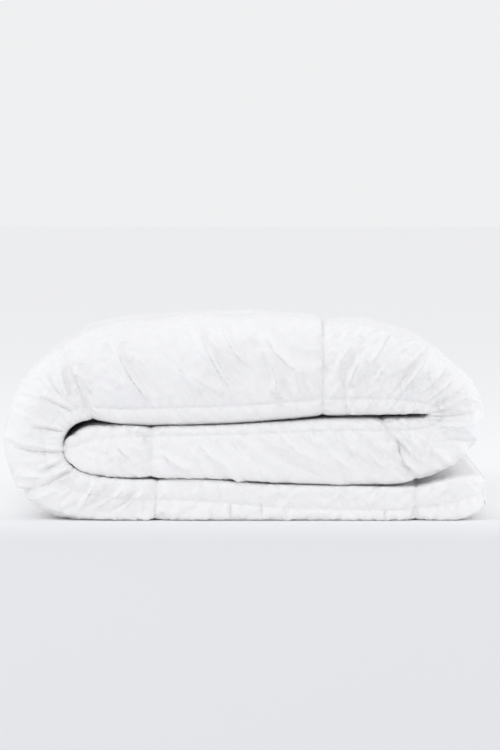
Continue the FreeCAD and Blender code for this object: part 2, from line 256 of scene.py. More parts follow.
def closing(distance):
    """1 inside the strip, falling to 0 at an end along a quarter of an ellipse."""
    x = np.clip(distance / END_TAPER, 0.0, 1.0)
    return at_least(NEARLY_CLOSED, np.sqrt(np.maximum(1 - (1 - x) ** 2, 0.0)))


open_share = closing(np.minimum(along, along[-1] - along))[:, None]
goal_share = np.clip(share, UPPER_EDGE, LOWER_EDGE)
goal_y = np.maximum(depth_y, END_TURN)
share = goal_share + (share - goal_share) * open_share
depth_y = goal_y + (depth_y - goal_y) * open_share


# %% Shares and depths become points
TOP_FALL = 19.0 * MM  # how far the top of the pile falls from the front to the back
FALL_START = 110.0 * MM
FALL_FROM, FALL_OVER = 150.0 * MM, 90.0 * MM  # the height where cloth starts to fall
TOP_HALF = 225.0 * MM  # half the width of the top that falls
FALL_BEND = 1.2  # above 1 the fall starts gently


def place(share, depth):
    """Points at a share of the way through the strip and at a depth; the pile's top sags."""
    placed = np.zeros((*share.shape, 3))
    placed[..., 0] = outer_line[:, None, 0] + share * (inner_line - outer_line)[:, None, 0]
    placed[..., 1] = depth
    placed[..., 2] = outer_line[:, None, 1] + share * (inner_line - outer_line)[:, None, 1]
    behind_front = np.clip((depth - FRONT - FALL_START) / (BACK - FRONT - FALL_START), 0.0, 1.0)
    high = np.clip((placed[..., 2] - FALL_FROM) / FALL_OVER, 0.0, 1.0)
    on_top = np.exp(-(placed[..., 0] / TOP_HALF) ** 4) * high
    placed[..., 2] -= TOP_FALL * on_top * behind_front**FALL_BEND
    return placed


points = place(share, depth_y)


# %% Normals of a grid of points
def grid_normals(grid):
    """Unit normals of a grid of points, pointing out of the duvet."""
    du = np.gradient(grid, axis=0)
    dv = np.gradient(grid, axis=1)
    n = np.cross(dv, du)
    n /= np.maximum(np.linalg.norm(n, axis=2, keepdims=True), 1e-12)
    return n


normals = grid_normals(points)
middle_of_top = int(np.argmin(np.abs(along - rib_at[MIDDLE_OF_TOP])))
print("normal on top of the pile:", normals[middle_of_top, more_outer // 2].round(2))

# %% [markdown]
# ## Stuffed boxes
# The seams divide the duvet into boxes, and filling pushes each box out. The cloth falls steeply
# into a seam and is nearly flat in the middle of a box, so the depth of the valley fades
# with a sharp exponential rather than with a round bump. Faces that lie on another layer
# are pressed flat, so they only get the valleys.

# %% How far each point is from its seams
every_line = np.ones((1, lines))
across_seams = np.abs(along[:, None] - seam_at[None, :])
to_cross_seam = across_seams.min(axis=1)[:, None] * every_line
on_face = (share < 0.02) | (share > 0.98)
to_long_seam = np.abs(depth_y[..., None] - np.array(LONG_SEAMS)).min(axis=2)
to_long_seam = np.where(on_face, to_long_seam, 1.0)
to_centre_seam = np.abs(across)


# %% Which cloth is free to puff out
FRONT_ZONE = 90.0 * MM  # how deep the cloth counts as being in front
CURVE_SHARE = 0.10  # how far into the thickness the front curve has to be to be quite free

outer_side = np.clip(1 - share / 0.5, 0.0, 1.0)
in_front = np.clip(1 - (depth_y - FRONT) / FRONT_ZONE, 0.0, 1.0)
front_curve = np.clip(np.minimum(share, 1 - share) / CURVE_SHARE, 0.0, 1.0)
free = np.maximum(outer_side * outer_is_free[:, None], front_curve)
print("share of the cloth that is free:", round(float(free.mean()), 2))

# %% Puff the boxes
VALLEY_REACH = 6.0 * MM
LONG_WIDER, CENTRE_NARROWER = 1.7, 0.6  # how the other seams' valleys compare with a cross seam's
CROSS_WHERE_HELD, LONG_WHERE_HELD = 0.35, 0.3  # how deep a valley is where a layer presses on it
CROSS_VALLEY, LONG_VALLEY, CENTRE_VALLEY = 7.5 * MM, 7.0 * MM, 2.6 * MM
CROWN, CROWN_REACH = 4.0 * MM, 28.0 * MM
BACK_FADE = 20.0 * MM  # the puffing fades out this close to the back edge
# The seam where the left fold meets the top is pulled tight only near the front.
SLACK, SLACK_REACH, SLACK_SHARE = 0.75, 20.0 * MM, 0.4
# How much shallower the centre seam is between two ribs: left fold, foot end and head end.
SHALLOWER = [(0.75, *LEFT_FOLD_RIBS), (0.15, 0, 6), (0.5, 29, 32)]

cross_valley = np.exp(-to_cross_seam / VALLEY_REACH)
long_valley = np.exp(-to_long_seam / (LONG_WIDER * VALLEY_REACH))
centre_valley = np.exp(-to_centre_seam / (CENTRE_NARROWER * VALLEY_REACH))
nearest = np.minimum(np.minimum(to_cross_seam, to_long_seam), to_centre_seam * 1.3)
crown = 1 - np.exp(-nearest / CROWN_REACH)
open_ends = open_share**2
puff = CROWN * crown * free
at_left_seam = np.exp(-((along - rib_at[LEFT_FOLD_RIBS[1]]) / SLACK_REACH) ** 2)[:, None]
slack_seam = 1 - SLACK * at_left_seam * np.clip(1 - share / SLACK_SHARE, 0.0, 1.0)
puff -= CROSS_VALLEY * slack_seam * cross_valley * at_least(CROSS_WHERE_HELD, free) * open_ends
puff -= LONG_VALLEY * long_valley * at_least(LONG_WHERE_HELD, free) * (1 - cross_valley) * open_ends
centre_depth = 1
for less, first, last in SHALLOWER:
    centre_depth = centre_depth - less * span(first, last)
puff -= CENTRE_VALLEY * centre_depth * centre_valley * (1 - cross_valley) * open_ends
back_fade = np.clip((BACK - depth_y) / BACK_FADE, 0.0, 1.0)
puff *= back_fade
puffed = points + normals * puff[..., None]

# %% [markdown]
# ## Uneven filling
# Fibre never lies evenly in a box. A few long, low waves in directions left to chance are enough
# to take the machine-made look away, where noise with small detail would look like gravel.

# %% Low waves over the boxes
def waves(a, b, seed, count=14, longest=0.20, shortest=0.06):
    """A smooth uneven field over two distances: a few sine waves in seeded directions."""
    random = np.random.default_rng(seed)
    field = np.zeros(np.broadcast(a, b).shape)
    for _ in range(count):
        length = random.uniform(shortest, longest)
        angle, phase = random.uniform(0, 2 * math.pi), random.uniform(0, 2 * math.pi)
        field += np.sin(2 * math.pi * (a * math.cos(angle) + b * math.sin(angle)) / length + phase)
    return field / math.sqrt(count)


lumps = waves(along[:, None], across, seed=4)
LUMP = 1.9 * MM
lump_height = LUMP * lumps * free * crown * open_ends * back_fade
puffed += grid_normals(puffed) * lump_height[..., None]

# %% [markdown]
# ## Creases with a place
# Some creases tell how the duvet was folded: the pleats that fan out of the two folds, the long
# slanting ridges over the front, the gathers beside a seam. Chance wouldn't put them there, so
# they are drawn one by one. Each is a stroke between two places in the front view, with a width
# and a height; a height below zero is a valley. A stroke has a sharp crest and soft flanks, and
# fades towards its ends.

# %% A stroke on the cloth
creases = np.zeros((columns, lines))


def stroke(a0, c0, a1, c1, width, height, bend=0.0):
    """Raise the cloth along a line between two places on it, given along and across the cloth."""
    length = math.hypot(a1 - a0, c1 - c0)
    lean = math.atan2(a1 - a0, c1 - c0)
    near = np.abs(along - (a0 + a1) / 2) < length / 2 + 5 * width + abs(bend)
    da = along[near][:, None] - (a0 + a1) / 2
    dc = across[near] - (c0 + c1) / 2
    down = (da * math.sin(lean) + dc * math.cos(lean)) / (length / 2)
    side = da * math.cos(lean) - dc * math.sin(lean) + bend * (1 - down**2)
    fade = np.clip(1 - down**4, 0.0, 1.0) * (np.abs(down) < 1)
    ridge = np.exp(-np.abs(side) / (0.8 * width))
    dip_beside = 0.5 * np.exp(-((side - 2.0 * width) / (1.2 * width)) ** 2)
    crest = ridge - dip_beside
    creases[near] += height * fade * crest


# Between which ribs a drawn crease may lie, and how deep in the pile the front view can see.
LAYER_RIBS = {"bottom": (0, 8), "left_fold": (7, 15), "top": (13, 20), "right_fold": (18, 25),
              "middle": (23, 32)}
SEEN_DEPTH = 0.085


def cloth_place(layer, x, z):
    """The place on the cloth, along and across, that shows at a point of the front view."""
    first, last = (rib_at[rib] for rib in LAYER_RIBS[layer])
    off = (points[..., 0] - x) ** 2 + (points[..., 2] - z) ** 2
    off = off + np.where(depth_y > FRONT + SEEN_DEPTH, 1.0, 0.0)
    off[(along < first) | (along > last)] += 1.0
    column, line = np.unravel_index(np.argmin(off), off.shape)
    return along[column], across[column, line]


# %% The creases drawn one by one
# For each layer: x and z of one end, x and z of the other end, width, height, bend. Millimetres.
DRAWN = {
    "top": [
        (-177, 236, -132, 165, 6, 7.0, 5), (-190, 240, -172, 214, 5, -2.6, 0),
        (-199, 214, -170, 180, 6, 2.2, 0), (-78, 204, -33, 170, 6, 3.6, 0),
        (-96, 214, -60, 176, 6, 3.2, 2), (-67, 259, -13, 172, 6, 5.0, 6),
        (-48, 243, -17, 186, 5, 4.4, 3), (-35, 255, -4, 214, 6, 4.0, 3),
        (8, 248, 34, 178, 7, -5.5, -5), (18, 236, 44, 176, 6, 4.6, -4),
        (33, 180, 57, 144, 5, -3.2, 0), (21, 256, 82, 197, 8, 4.4, 9),
        (26, 226, 31, 204, 4, -2.6, 0), (39, 188, 46, 166, 4, 3.0, 0),
        (50, 190, 62, 166, 4, -2.4, 0), (66, 206, 75, 166, 4, 3.2, 0),
        (84, 184, 88, 166, 4, -2.4, 0), (131, 208, 134, 164, 5, -5.5, 0),
        (134, 163, 140, 143, 4, -4.5, 0), (138, 184, 154, 226, 5, 3.4, 3),
        (150, 180, 166, 206, 5, -2.8, 0)],
    "right_fold": [
        (164, 210, 196, 246, 6, 3.4, 4), (176, 190, 186, 208, 4, 2.6, 0),
        (196, 170, 230, 218, 6, -4.2, 3), (212, 176, 246, 222, 5, 3.4, 3),
        (226, 206, 256, 226, 4, -2.6, 0), (240, 172, 272, 205, 6, -5.5, 3),
        (250, 166, 288, 196, 5, 3.2, 2), (256, 158, 298, 182, 5, -3.4, 2),
        (254, 150, 306, 168, 5, 3.0, 2), (250, 142, 314, 152, 5, -4.5, 3),
        (258, 130, 312, 136, 6, 2.4, 2), (272, 113, 308, 111, 4, -3.2, 0)],
    "left_fold": [
        (-236, 208, -211, 174, 5, 4.2, -4), (-265, 199, -243, 162, 4, -4.0, 4),
        (-250, 206, -240, 168, 4, 3.0, 0), (-278, 169, -236, 147, 4, -4.5, 3),
        (-290, 127, -246, 121, 4, -5.5, 2), (-318, 103, -244, 92, 4, -6.0, 4),
        (-280, 64, -250, 80, 4, -5.0, 0), (-284, 46, -234, 72, 4, -6.2, 3),
        (-316, 44, -280, 47, 4, -5.5, 0), (-306, 62, -270, 60, 6, 3.0, 0),
        (-268, 50, -236, 62, 5, 4.0, 0)],
    "bottom": [
        (-258, 33, -208, 58, 5, 3.4, 3), (-240, 24, -182, 56, 5, -3.2, 3),
        (-214, 15, -162, 46, 5, 3.4, 3), (-196, 10, -150, 40, 5, -2.8, 2),
        (-176, 10, -142, 34, 5, 3.0, 0), (-20, 26, -20, 4, 3, -3.0, 0),
        (22, 24, 22, 3, 3, -3.2, 0), (52, 22, 50, 4, 3, 2.2, 0),
        (188, 16, 188, 3, 3, -2.6, 0)],
    "middle": [
        (-114, 95, -76, 68, 5, 3.6, 3), (-67, 105, -24, 73, 6, 2.8, 3),
        (-90, 118, -52, 92, 6, -2.2, 0), (12, 120, 117, 57, 7, -3.2, 8),
        (40, 122, 92, 84, 6, 2.4, 4), (73, 120, 112, 90, 5, -2.4, 2),
        (96, 118, 140, 72, 6, 2.6, 4), (127, 125, 168, 64, 6, -4.0, 5),
        (150, 118, 186, 70, 5, 2.8, 3), (194, 112, 236, 64, 3.5, 4.0, 0),
        (203, 110, 226, 82, 3, -2.2, 0), (212, 112, 234, 82, 3, 3.4, 0),
        (222, 110, 236, 88, 3, -2.0, 0), (-178, 104, -160, 84, 4, 2.6, 0),
        (-196, 100, -182, 82, 4, 2.2, 0), (-150, 118, -136, 106, 3, 2.6, 0),
        (-158, 122, -140, 116, 3, -2.4, 0)],
}
RIDGE_STRENGTH, VALLEY_STRENGTH = 2.0, 1.25
for layer, creases_of_layer in DRAWN.items():
    for x0, z0, x1, z1, width, height, bend in creases_of_layer:
        ends = (*cloth_place(layer, x0 * MM, z0 * MM), *cloth_place(layer, x1 * MM, z1 * MM))
        strength = RIDGE_STRENGTH if height > 0 else VALLEY_STRENGTH
        stroke(*ends, width * MM, strength * height * MM, bend * MM)
print("creases drawn by hand:", sum(len(listed) for listed in DRAWN.values()))

# %% [markdown]
# ## Creases by chance
# The rest of the cloth is covered with short weak strokes whose place is left to a seeded
# random draw, but whose direction is not: each stretch of the strip has its own lean, because
# the cloth there was pulled its own way when the duvet was folded.

# %% Scattered creases
def stroke_about(a, c, turned, half, width, height, bend):
    """A stroke given by its middle, the way it is turned and half its length."""
    da, dc = half * math.sin(turned), half * math.cos(turned)
    stroke(a - da, c - dc, a + da, c + dc, width, height, bend)


# First and last rib, lean in degrees, spread of the lean, strokes, length, width and height in
# millimetres, and how far from the centre seam they lie, on the outer and the inner side.
SCATTERED = [
    (0, 2, -35, 14, 34, 26, 3, 1.5, 45, 30),
    (2, 6, -48, 12, 95, 26, 2.8, 1.7, 34, 30),
    (6, 9, -40, 12, 60, 30, 3.2, 1.8, 60, 40),
    (9, 14, 0, 20, 44, 44, 3.4, 1.8, 150, 60),
    (14, 18, 34, 8, 70, 56, 4.2, 1.6, 86, 20),
    (18, 22, -34, 10, 110, 46, 3.8, 2.2, 100, 34),
    (22, 25, -10, 24, 90, 30, 3.6, 1.8, 160, 34),
    (25, 29, 42, 7, 110, 58, 3.4, 1.5, 80, 14),
    (29, 32, 34, 14, 60, 22, 3.0, 1.7, 60, 30),
]
random = np.random.default_rng(11)
for first, last, lean, spread, strokes, length, width, height, outwards, inwards in SCATTERED:
    for _ in range(strokes):
        a = random.uniform(rib_at[first], rib_at[last])
        c = random.uniform(-outwards, inwards) * MM
        turned = math.radians(lean + random.normal(0, spread))
        half = 0.5 * length * MM * random.uniform(0.5, 1.5)
        size = random.uniform(0.5, 1.4)
        sign = 1 if random.uniform() < 0.65 else -0.8
        stroke_about(a, c, turned, half, width * MM * random.uniform(0.9, 1.7),
                     sign * size * height * MM, random.normal(0, 2.0) * MM)

# %% [markdown]
# ## Wide creases away from the front
# On top and round the back of the folds the cloth is looser and its creases are wide and lie every
# way. They keep away from the front edge of the top, so that the outline stays calm there.

# %% Scatter the wide creases
# First and last rib, strokes, and how far outwards from the centre seam they lie, in millimetres.
WIDE = [(8, 14, 90, 170, 600), (14, 18, 60, 190, 600), (18, 24, 110, 170, 600)]
WIDE_LENGTH, WIDE_WIDTH, WIDE_HEIGHT = 70.0 * MM, 7.0 * MM, 2.4 * MM
for first, last, strokes, nearest_out, farthest_out in WIDE:
    for _ in range(strokes):
        a = random.uniform(rib_at[first], rib_at[last])
        c = -random.uniform(nearest_out, farthest_out) * MM
        turned = random.normal(0, 0.8)
        half = 0.5 * WIDE_LENGTH * random.uniform(0.4, 1.5)
        stroke_about(a, c, turned, half, WIDE_WIDTH * random.uniform(0.7, 1.5),
                     random.choice([-0.7, 1.0]) * WIDE_HEIGHT * random.uniform(0.4, 1.2),
                     random.normal(0, 6.0) * MM)

# %% [markdown]
# ## Puckers along the seams
# Stitching shortens the cloth a little, so it puckers: short creases stand out from the seam on
# both sides, close together and uneven.

# %% Pucker the seams
def pucker(a, c, lean, length, height, width=3.2 * MM):
    stroke(a, c, a + length * math.sin(lean), c + length * math.cos(lean), width, height)


PUCKER_STEP, WIDE_STEP = 7.0 * MM, 15.0 * MM
# How likely there is a pucker at each step: centre seam, cross seam, its wide ones, long seam.
AT_CENTRE, AT_CROSS, WIDE_AT_CROSS, AT_LONG = 0.62, 0.7, 0.8, 0.5
FEWER_ON_LEFT = 0.65  # the left fold's centre seam is nearly smooth
BESIDE, FAR_BESIDE = 1.5 * MM, 2.0 * MM  # how far from its seam a pucker starts
few_on_left = 1 - FEWER_ON_LEFT * span(*LEFT_FOLD_RIBS)[:, 0]
for station, likely in zip(along[::2], few_on_left[::2]):
    for side in (-1, 1):
        if random.uniform() < AT_CENTRE * likely:
            length = random.uniform(9, 26) * MM
            lean = random.normal(0.25, 0.35)
            way = lean if side > 0 else math.pi + lean
            pucker(station + random.normal(0, 2) * MM, side * BESIDE, way, length,
                   random.uniform(-1.6, 1.8) * MM)
reach = int((usual_length + 0.04) / PUCKER_STEP)
for seam in seam_at:
    for row in range(-reach, reach):
        for side in (-1, 1):
            if random.uniform() < AT_CROSS:
                length = random.uniform(9, 28) * MM
                lean = side * math.pi / 2 + random.normal(0, 0.35)
                pucker(seam + side * BESIDE, (row + random.uniform(-0.4, 0.4)) * PUCKER_STEP,
                       lean, length, random.uniform(-1.7, 2.0) * MM)

for seam in seam_at:
    for row in range(int(FINE_OUTER / WIDE_STEP), int(usual_length / WIDE_STEP)):
        for side in (-1, 1):
            if random.uniform() < WIDE_AT_CROSS:
                pucker(seam + side * FAR_BESIDE, -(row + random.uniform(-0.4, 0.4)) * WIDE_STEP,
                       side * math.pi / 2 + random.normal(0, 0.3), random.uniform(20, 48) * MM,
                       random.uniform(-2.4, 2.6) * MM, 6.0 * MM)
for station in along[::5]:
    for y in LONG_SEAMS:
        for side in (-1, 1):
            if random.uniform() < AT_LONG:
                c = -(usual_length - (BACK - y) - ROUND_THE_FRONT) + side * FAR_BESIDE
                pucker(station, c, random.normal(0, 0.3) + (0 if side > 0 else math.pi),
                       random.uniform(15, 40) * MM, random.uniform(-2.0, 2.2) * MM, 4.0 * MM)

press = np.clip(free + 0.15, 0.0, 1.0) * back_fade * np.clip(open_share * 1.2, 0, 1)
puffed += grid_normals(puffed) * (creases * press)[..., None]
puffed[..., 2] = np.maximum(puffed[..., 2], 0.0)  # nothing sinks into what the pile lies on
print("highest crease:", round(float((creases * press).max() / MM), 1), "mm")

# %% [markdown]
# ## From points to a mesh
# The grid of points becomes a mesh of four-sided faces. It keeps a UV map in metres of cloth, so
# that the weave follows the cloth round every fold.

# %% Build a mesh from a grid
def grid_mesh(name, grid, u, v, turned_over=False):
    """A mesh with one vertex per grid point, and a UV map from the cloth distances u and v."""
    nu, nv = grid.shape[:2]
    index = np.arange(nu * nv).reshape(nu, nv)
    quads = np.stack([index[:-1, :-1], index[:-1, 1:], index[1:, 1:], index[1:, :-1]], axis=-1)
    quads = quads.reshape(-1, 4)
    if turned_over:
        quads = quads[:, ::-1]
    mesh = bpy.data.meshes.new(name)
    mesh.vertices.add(nu * nv)
    mesh.vertices.foreach_set("co", grid.reshape(-1))
    mesh.loops.add(quads.size)
    mesh.loops.foreach_set("vertex_index", quads.reshape(-1))
    mesh.polygons.add(len(quads))
    mesh.polygons.foreach_set("loop_start", np.arange(0, quads.size, 4))
    mesh.polygons.foreach_set("loop_total", np.full(len(quads), 4))
    mesh.update(calc_edges=True)
    mesh.validate()
    cloth = mesh.uv_layers.new(name="cloth")
    uv = np.stack([np.broadcast_to(u, (nu, nv)), np.broadcast_to(v, (nu, nv))], axis=-1)
    cloth.data.foreach_set("uv", uv.reshape(-1, 2)[quads.reshape(-1)].reshape(-1))
    mesh.polygons.foreach_set("use_smooth", np.ones(len(quads), bool))
    piece = bpy.data.objects.new(name, mesh)
    bpy.context.scene.collection.objects.link(piece)
    return piece


shell = grid_mesh("outer_shell", puffed, along[:, None], across)
print("faces of the outer shell:", len(shell.data.polygons))

# %% [markdown]
# ## Wrinkles by simulation
# Real cotton is cut a little larger than the box it covers, so it buckles into wrinkles when the
# filling pushes it out. Blender's Cloth does the same: its springs are told that they are longer
# than the mesh, and pressure stands in for the filling. A second shape of the mesh, slanted a
# little, tells the springs that the cloth is also pulled askew, which makes the wrinkles run
# diagonally, as they do on a duvet that has slid in its folds. The stitching and the hidden
# faces are pinned.

# %% Where the cloth is held
PIN = 1.0
CENTRE_HOLD = 0.85  # the centre seam gives a little
SOFT_HOLD = 0.42  # how firmly the filling keeps free cloth near its place
HIDDEN_FROM, HIDDEN_OVER = 0.035, 0.02  # the depth where a face that lies on another is hidden
NEARLY_OPEN, NEAR_THE_BACK = 0.75, 0.6  # cloth is held where its ends or its back edge draw it in
held = np.full((columns, lines), SOFT_HOLD)
hidden = (1 - free) * np.clip((depth_y - FRONT - HIDDEN_FROM) / HIDDEN_OVER, 0.0, 1.0)
held = np.maximum(held, np.where(hidden > 0.5, PIN, held))
held[to_cross_seam < 0.5 * CELL] = PIN
held[to_centre_seam < 0.5 * CELL] = CENTRE_HOLD
held[on_face & (to_long_seam < 0.6 * COARSE_OUTER)] = PIN
held[(open_share * every_line) < NEARLY_OPEN] = PIN
held[back_fade < NEAR_THE_BACK] = PIN
print("pinned:", int((held >= PIN).sum()), "of", held.size)

# %% How the cloth is slanted and how much of it there is
def x_places(low, high, soft=25.0 * MM):
    """1 between two places across the pile, with soft edges."""
    x = points[..., 0]
    return 1 / (1 + np.exp(-(x - low) / soft)) / (1 + np.exp((x - high) / soft))


top_layer = span(*TOP_RIBS) * every_line
middle_layer = span(*MIDDLE_RIBS) * every_line
bottom_layer = span(*BOTTOM_RIBS) * every_line
SLANT_TOP, SLANT_RIGHT, SLANT_MIDDLE, SLANT_BOTTOM = 0.16, -0.16, 0.14, -0.16
LEFT_OF_SEAM, RIGHT_OF_SEAM = (-0.30, 0.10), (0.11, 0.34)  # across the pile, in metres
slant = SLANT_TOP * top_layer * x_places(*LEFT_OF_SEAM)
slant += SLANT_RIGHT * top_layer * x_places(*RIGHT_OF_SEAM)
slant += SLANT_MIDDLE * middle_layer + SLANT_BOTTOM * bottom_layer
step_x = np.gradient(points[..., 0], axis=0)
lift = np.cumsum(slant * step_x, axis=0)
lift -= lift[columns // 2][None, :]
slanted = puffed.copy()
slanted[..., 2] += lift * in_front

EXCESS, FOLD_EXCESS = 0.03, 0.08  # spare cloth as a share, everywhere and where folds bunch it
shorter = np.linalg.norm(np.diff(points, axis=0), axis=2)
shorter = np.vstack([shorter, shorter[-1:]])
MOST_BUNCHED = 0.5
bunched = np.clip(1 - shorter / CELL, 0.0, MOST_BUNCHED) / MOST_BUNCHED
spare = bunched * in_front
print("most spare cloth where folds bunch it:", round(float(spare.max()), 2))

# %% Run the cloth
def set_group(piece, name, weights):
    """A vertex group with the given weights, in steps of a hundredth."""
    group = piece.vertex_groups.new(name=name)
    in_steps = np.round(np.clip(weights.reshape(-1), 0, 1), 2)
    for weight in np.unique(in_steps):
        members = np.flatnonzero(in_steps == weight)
        group.add([int(i) for i in members], float(weight), "REPLACE")
    return group.name


COTTON_SETTINGS = {
    "quality": 4, "mass": 0.12, "air_damping": 2.0,
    "tension_stiffness": 20, "compression_stiffness": 20, "shear_stiffness": 12,
    "bending_stiffness": 0.15, "tension_damping": 5, "compression_damping": 5, "shear_damping": 5,
}


def simulate(piece, rest, frames, pressure, excess, fold_excess):
    """Let the cloth settle and return where its points end up."""
    count = len(piece.data.vertices)
    pins = set_group(piece, "held", held)
    loose = set_group(piece, "spare", spare)
    piece.shape_key_add(name="Basis")
    key = piece.shape_key_add(name="slanted")
    key.data.foreach_set("co", rest.reshape(-1))
    key.value = 0.0
    modifier = piece.modifiers.new("cloth", "CLOTH")
    cloth = modifier.settings
    for setting, value in COTTON_SETTINGS.items():
        setattr(cloth, setting, value)
    cloth.use_pressure = True
    cloth.uniform_pressure_force = pressure
    cloth.vertex_group_mass = pins
    cloth.pin_stiffness = 1.0
    cloth.rest_shape_key = key
    cloth.vertex_group_shrink = loose
    cloth.shrink_min = -excess
    cloth.shrink_max = -fold_excess
    cloth.effector_weights.gravity = 0.0
    modifier.collision_settings.use_collision = False
    modifier.point_cache.frame_start = 1
    modifier.point_cache.frame_end = frames
    for number in range(1, frames + 1):
        bpy.context.scene.frame_set(number)
    settled = piece.evaluated_get(bpy.context.evaluated_depsgraph_get())
    result = np.empty(count * 3)
    settled.data.vertices.foreach_get("co", result)
    bpy.context.scene.frame_set(1)
    piece.modifiers.remove(modifier)
    piece.shape_key_clear()
    piece.vertex_groups.clear()
    return result.reshape(-1, 3)


FRAMES = 12
PRESSURE = 1.5
CAP = 13.0 * MM  # how far the simulation may move a point
JITTER = 0.1 * MM  # breaks the evenness, so that the buckles find their places
jitter = np.random.default_rng(3).normal(0.0, JITTER, (columns, lines)) * (held < 1)
start = puffed + grid_normals(puffed) * jitter[..., None]
shell.data.vertices.foreach_set("co", start.reshape(-1))
settled = simulate(shell, slanted, FRAMES, PRESSURE, EXCESS, FOLD_EXCESS)
moved = settled.reshape(columns, lines, 3) - puffed
distance = np.linalg.norm(moved, axis=2, keepdims=True)
moved *= np.minimum(1.0, CAP / np.maximum(distance, 1e-9))
print("cloth moved by up to", round(float(distance.max() / MM), 1), "mm")
cloth_points = puffed + moved
cloth_points[..., 2] = np.maximum(cloth_points[..., 2], 0.0)
shell.data.vertices.foreach_set("co", cloth_points.reshape(-1))
shell.data.update()
cloth_normals = grid_normals(cloth_points)
print("height of the pile now:", round(float(cloth_points[..., 2].max()), 4), "m")

# %% [markdown]
# ## The inner panel
# Folding the duvet in half hides its other face: the inner panel lies against itself inside the
# strip and only comes out at the open edges, where each ply rounds in to its seam. It is a
# second hairpin within the first. Near an edge each ply curves away from its neighbour along a
# quarter of an ellipse, which leaves the soft groove that one sees from behind. Its border takes
# the very points of the outer cloth's border, so that the two panels meet.

# %% Distances along a path
def run_along(path):
    """How far each point of a path is from its start, along it."""
    return np.concatenate([[0.0], np.cumsum(np.linalg.norm(np.diff(path, axis=0), axis=1))])


def interpolated(at, run, values):
    """The three columns of values at the given distances."""
    return np.stack([np.interp(at, run, values[:, axis]) for axis in range(3)], axis=1)


def resample(path, count):
    """Points at even distances along a path."""
    run = run_along(path)
    return interpolated(np.linspace(0.0, run[-1], count), run, path)


# %% The inner panel
GROOVE = 38.0 * MM  # how deep the groove between the two plies is
PLIES_APART = 0.004  # share of the thickness between the two plies where they touch
GROOVE_ROWS, PLY_ROWS, CLOSER_AT_EDGE = 12, 16, 1.4  # rows of the lining, closer at its edge
near_back = BACK - GROOVE * np.linspace(0.0, 1.0, GROOVE_ROWS) ** CLOSER_AT_EDGE
rest_of_ply = np.linspace(BACK - GROOVE, END_TURN, PLY_ROWS)[1:]
ply_y = np.concatenate([near_back, rest_of_ply])
lining_y = np.concatenate([ply_y, ply_y[::-1]])[None, :] * np.ones((columns, 1))
ply_side = np.concatenate([-np.ones(ply_y.size), np.ones(ply_y.size)])[None, :]
from_end = np.minimum(along, along[-1] - along)[:, None]
into_groove = np.clip(np.minimum(BACK - lining_y, from_end) / GROOVE, 0.0, 1.0)
lip = (0.5 - UPPER_EDGE) * (1 - np.sqrt(1 - (1 - into_groove) ** 2))
lining_share = 0.5 + ply_side * (lip + PLIES_APART / 2)
lining_points = place(lining_share, lining_y)
lining_points[:, 0] = cloth_points[:, 0]
lining_points[:, -1] = cloth_points[:, -1]
for end in (0, -1):
    border = cloth_points[end]
    plies = [interpolated(-ply_y, -ply[:, 1], ply) for ply in (border[:CENTRE], border[:CENTRE:-1])]
    lining_points[end] = np.concatenate([plies[0], plies[1][::-1]])
lining_v = np.concatenate([BACK - ply_y, 2 * (BACK - END_TURN) - (BACK - ply_y[::-1])])
lining = grid_mesh("inner_lining", lining_points, along[:, None], lining_v[None, :], turned_over=True)
print("faces of the inner panel:", len(lining.data.polygons))

# %% [markdown]
# ## Corded edges
# All four edges of the duvet are finished with piping: a thin cord in a strip of cotton, caught in
# the seam. It follows the border of the cloth, so a tube is swept along the border's own points.
# The tube gets a little unevenness, as a hand-fed cord has.

# %% Normals that point outwards
def select_only(piece):
    bpy.ops.object.select_all(action="DESELECT")
    piece.select_set(True)
    bpy.context.view_layer.objects.active = piece


def turn_outwards(merge=None):
    """Merge the active piece's double vertices where asked, and turn its faces outwards."""
    bpy.ops.object.mode_set(mode="EDIT")
    bpy.ops.mesh.select_all(action="SELECT")
    if merge is not None:
        bpy.ops.mesh.remove_doubles(threshold=merge)
    bpy.ops.mesh.normals_make_consistent(inside=False)
    bpy.ops.object.mode_set(mode="OBJECT")


# %% A tube along a path
def tube(name, path, radius, sides=10, unevenness=0.05, seed=1):
    """A closed round tube along a path, with a UV map in metres."""
    ahead = np.gradient(path, axis=0)
    ahead /= np.linalg.norm(ahead, axis=1, keepdims=True)
    side = np.zeros_like(path)
    direction = np.cross(ahead[0], (0.0, 0.3, 1.0))
    for k in range(len(path)):
        direction = direction - ahead[k] * (direction @ ahead[k])
        direction /= np.linalg.norm(direction)
        side[k] = direction
    up = np.cross(ahead, side)
    run = run_along(path)
    random = np.random.default_rng(seed)
    wobble = np.convolve(random.normal(0, 1, len(path)), np.ones(5) / 5, mode="same")
    radii = radius * (1 + unevenness * wobble)
    around = np.linspace(0.0, 2 * math.pi, sides + 1)
    ring = (np.cos(around)[None, :, None] * side[:, None, :]
            + np.sin(around)[None, :, None] * up[:, None, :])
    grid = path[:, None, :] + radii[:, None, None] * ring
    grid = np.concatenate([path[:1, None, :] * np.ones((1, sides + 1, 1)), grid,
                           path[-1:, None, :] * np.ones((1, sides + 1, 1))])
    u = np.concatenate([run[:1], run, run[-1:]])[:, None]
    piece = grid_mesh(name, grid, u, (around * radius)[None, :])
    select_only(piece)
    turn_outwards(merge=1e-6)
    return piece


def rounded(path, count=9):
    """The path with its corners eased by a running mean; its ends stay."""
    padded_path = np.concatenate([np.repeat(path[:1], count // 2, axis=0), path,
                                  np.repeat(path[-1:], count // 2, axis=0)])
    kernel = np.ones(count) / count
    return np.stack([np.convolve(padded_path[:, axis], kernel, mode="valid")
                     for axis in range(3)], axis=1)


# %% Sweep the four pipings
PIPING_RADIUS = 2.3 * MM
PIPING_POINT_STEP = 3.0 * MM


